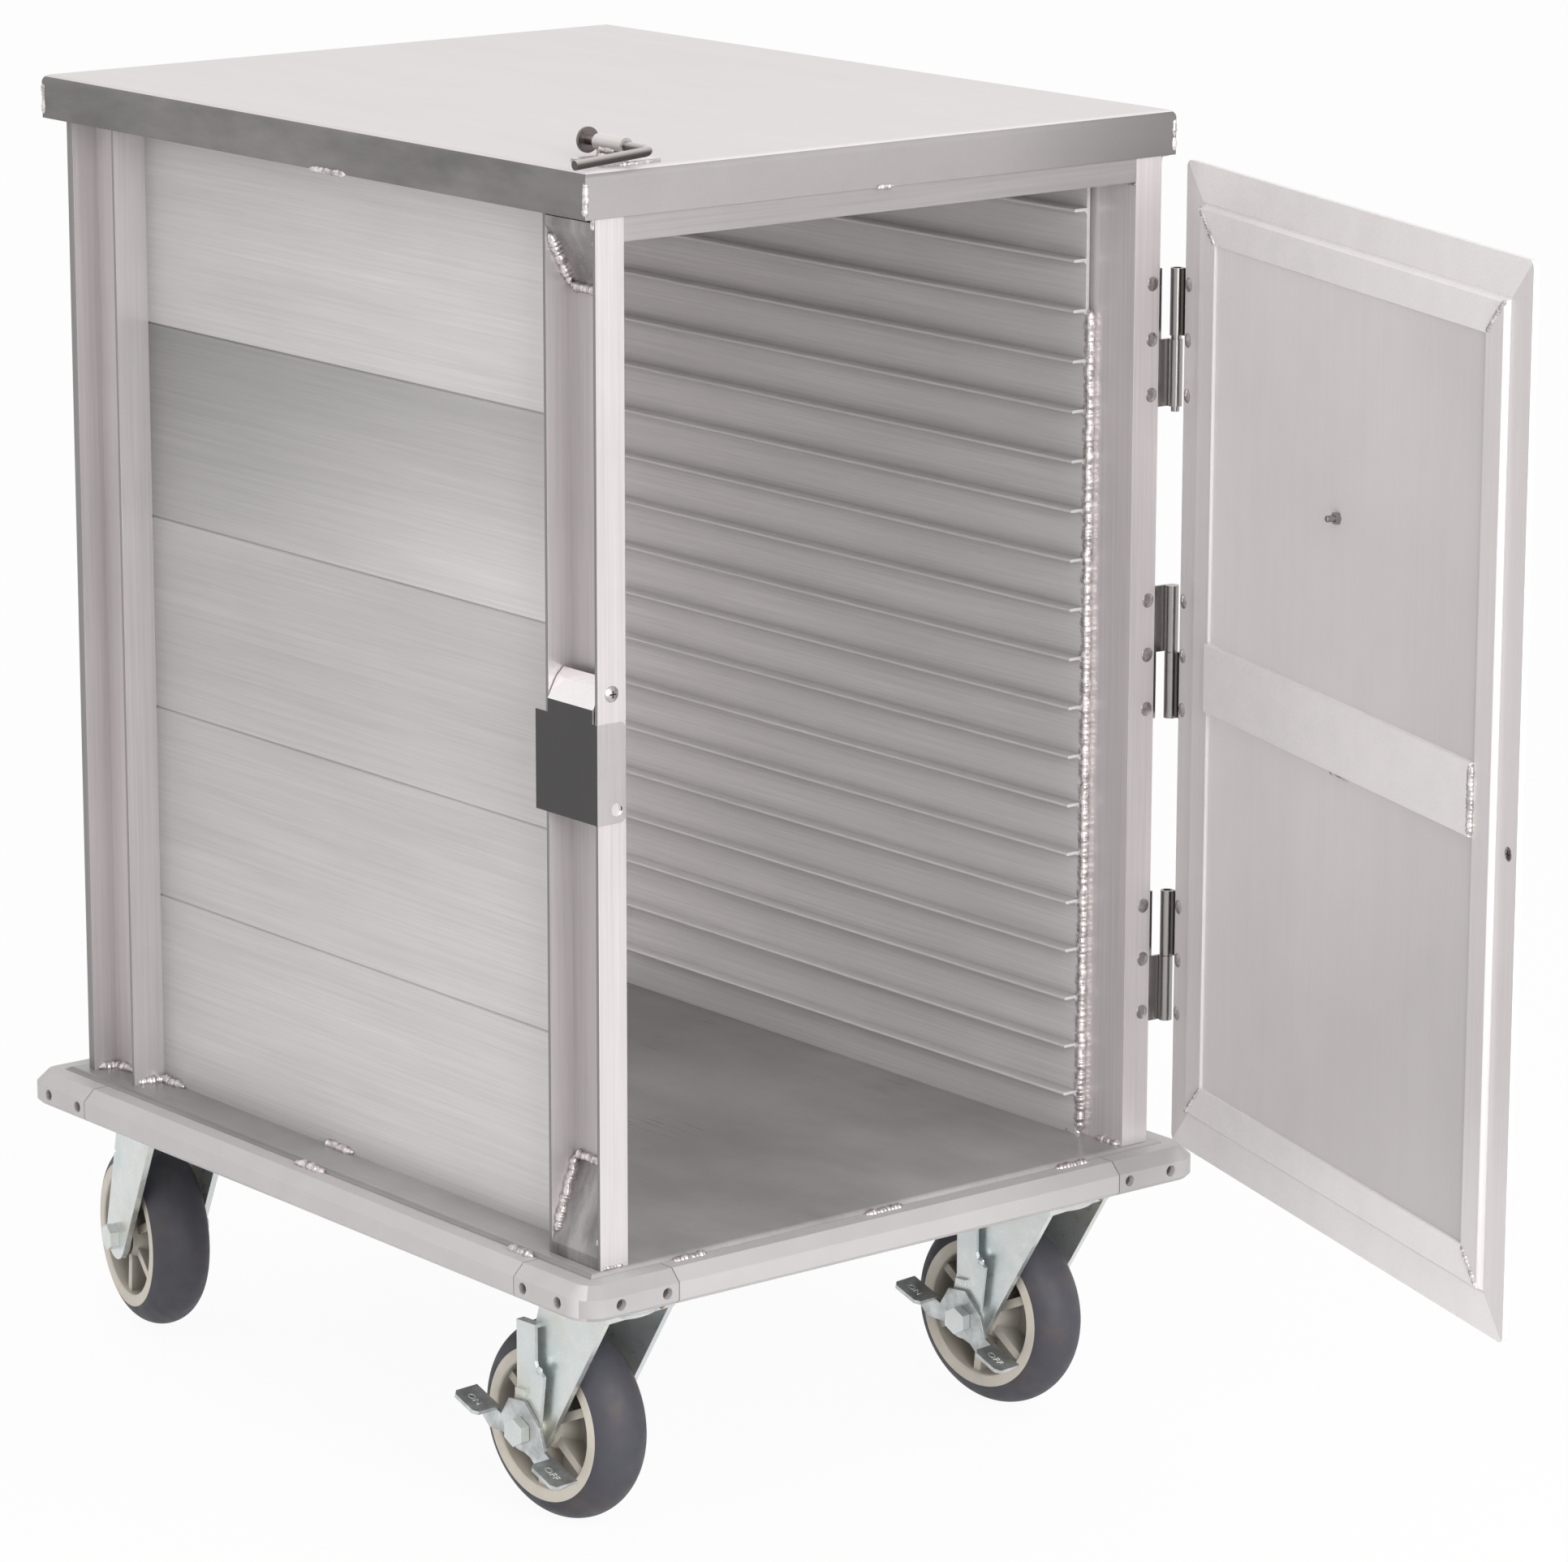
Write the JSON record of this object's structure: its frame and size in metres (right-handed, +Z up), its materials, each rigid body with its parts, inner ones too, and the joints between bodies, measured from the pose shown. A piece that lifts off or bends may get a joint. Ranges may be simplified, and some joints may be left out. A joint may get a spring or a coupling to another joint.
{
  "type": "enclosed meal tray cart",
  "caption": "Tall aluminium tray cart on swivel casters, closed on three sides, with ledge-lined walls, a hinged door standing open and a bumper ring round the base.",
  "frame": {"origin": "on the floor, under the middle of the cabinet", "axes": "+X to the right seen from the door side, +Y to the rear, +Z up"},
  "size_m": [0.597, 1.2851, 1.0432],
  "materials": {
    "shell": "mill finish, fine horizontal brushing",
    "floor_sheet": "worn mill finish",
    "stainless": "fine brushing",
    "zinc": "bright zinc plate",
    "hub_plastic": "moulded",
    "tread_rubber": "smooth, worn",
    "bumper_plastic": "moulded",
    "dark_rubber": "matte",
    "dark_steel": "dull"
  },
  "bodies": {
    "cart": {"roof_pan": "shell", "front_header": "shell", "post_front_left": "shell", "post_front_right": "shell", "post_rear_left": "shell", "post_rear_right": "shell", "side_wall_left": "shell", "side_wall_right": "shell", "rear_panel": "shell", "gussets": "shell", "deck": "floor_sheet", "base_frame": "shell", "bumper_rails": "bumper_plastic", "bumper_corner_fl": "bumper_plastic", "bumper_corner_fr": "bumper_plastic", "bumper_corner_rl": "bumper_plastic", "bumper_corner_rr": "bumper_plastic", "bumper_screws": "dark_steel", "caster_plates": "zinc", "caster_bolts": "zinc", "hinge_post_leaves": "stainless", "hinge_post_rivets": "stainless", "strike_plate": "stainless", "strike_screw": "stainless", "rod_latch_mount": "stainless"},
    "door": {"door_stile_hinge": "shell", "door_stile_free": "shell", "door_rail_top": "shell", "door_rail_bottom": "shell", "door_skin_panel": "shell", "door_middle_rail": "shell", "hinge_door_leaves": "stainless", "hinge_door_rivets": "stainless", "door_bolt": "stainless", "door_button": "dark_rubber", "door_pull": "stainless"},
    "latch_disc": {"latch_disc": "dark_steel"},
    "latch_rod": {"latch_rod": "stainless"},
    "swivel_fl": {"fork_fl": "zinc", "axle_fl": "zinc", "brake_strap_fl": "zinc"},
    "wheel_fl": {"hub_fl": "hub_plastic", "tread_fl": "tread_rubber"},
    "pedal_fl": {"brake_pedal_fl": "zinc"},
    "swivel_fr": {"fork_fr": "zinc", "axle_fr": "zinc", "brake_strap_fr": "zinc"},
    "wheel_fr": {"hub_fr": "hub_plastic", "tread_fr": "tread_rubber"},
    "pedal_fr": {"brake_pedal_fr": "zinc"},
    "swivel_rl": {"fork_rl": "zinc", "axle_rl": "zinc"},
    "wheel_rl": {"hub_rl": "hub_plastic", "tread_rl": "tread_rubber"},
    "swivel_rr": {"fork_rr": "zinc", "axle_rr": "zinc"},
    "wheel_rr": {"hub_rr": "hub_plastic", "tread_rr": "tread_rubber"}
  },
  "joints": [
    {"name": "door_hinge", "type": "hinge", "parent": "cart", "child": "door", "pos_m": [0.28, -0.3473, 0.6], "axis": [0, 0, 1], "range_deg": [-73.3, 196.7]},
    {"name": "latch_slide", "type": "slide", "parent": "cart", "child": "latch_disc", "axis": [0, -1, 0], "range_m": [0, 0.011]},
    {"name": "latch_turn", "type": "hinge", "parent": "latch_disc", "child": "latch_rod", "pos_m": [-0.224, -0.313, 1.034], "axis": [0, -1, 0], "range_deg": [-180, 86]},
    {"name": "swivel_fl", "type": "hinge", "parent": "cart", "child": "swivel_fl", "pos_m": [-0.213, -0.2888, 0.186], "axis": [0, 0, 1], "continuous": true},
    {"name": "wheel_spin_fl", "type": "hinge", "parent": "swivel_fl", "child": "wheel_fl", "pos_m": [-0.21702, -0.24047, 0.0762], "axis": [0.9966, 0.083, 0], "continuous": true},
    {"name": "brake_fl", "type": "hinge", "parent": "swivel_fl", "child": "pedal_fl", "pos_m": [-0.21702, -0.24047, 0.0762], "axis": [-0.9966, -0.083, 0], "range_deg": [0, 38]},
    {"name": "swivel_fr", "type": "hinge", "parent": "cart", "child": "swivel_fr", "pos_m": [0.213, -0.2888, 0.186], "axis": [0, 0, 1], "continuous": true},
    {"name": "wheel_spin_fr", "type": "hinge", "parent": "swivel_fr", "child": "wheel_fr", "pos_m": [0.20738, -0.24063, 0.0762], "axis": [0.9933, 0.1158, 0], "continuous": true},
    {"name": "brake_fr", "type": "hinge", "parent": "swivel_fr", "child": "pedal_fr", "pos_m": [0.20738, -0.24063, 0.0762], "axis": [-0.9933, -0.1158, 0], "range_deg": [0, 38]},
    {"name": "swivel_rl", "type": "hinge", "parent": "cart", "child": "swivel_rl", "pos_m": [-0.213, 0.2888, 0.186], "axis": [0, 0, 1], "continuous": true},
    {"name": "wheel_spin_rl", "type": "hinge", "parent": "swivel_rl", "child": "wheel_rl", "pos_m": [-0.203, 0.33626, 0.0762], "axis": [0.9785, -0.2062, 0], "continuous": true},
    {"name": "swivel_rr", "type": "hinge", "parent": "cart", "child": "swivel_rr", "pos_m": [0.213, 0.2888, 0.186], "axis": [0, 0, 1], "continuous": true},
    {"name": "wheel_spin_rr", "type": "hinge", "parent": "swivel_rr", "child": "wheel_rr", "pos_m": [0.21975, 0.33683, 0.0762], "axis": [0.9903, -0.1392, 0], "continuous": true}
  ]
}
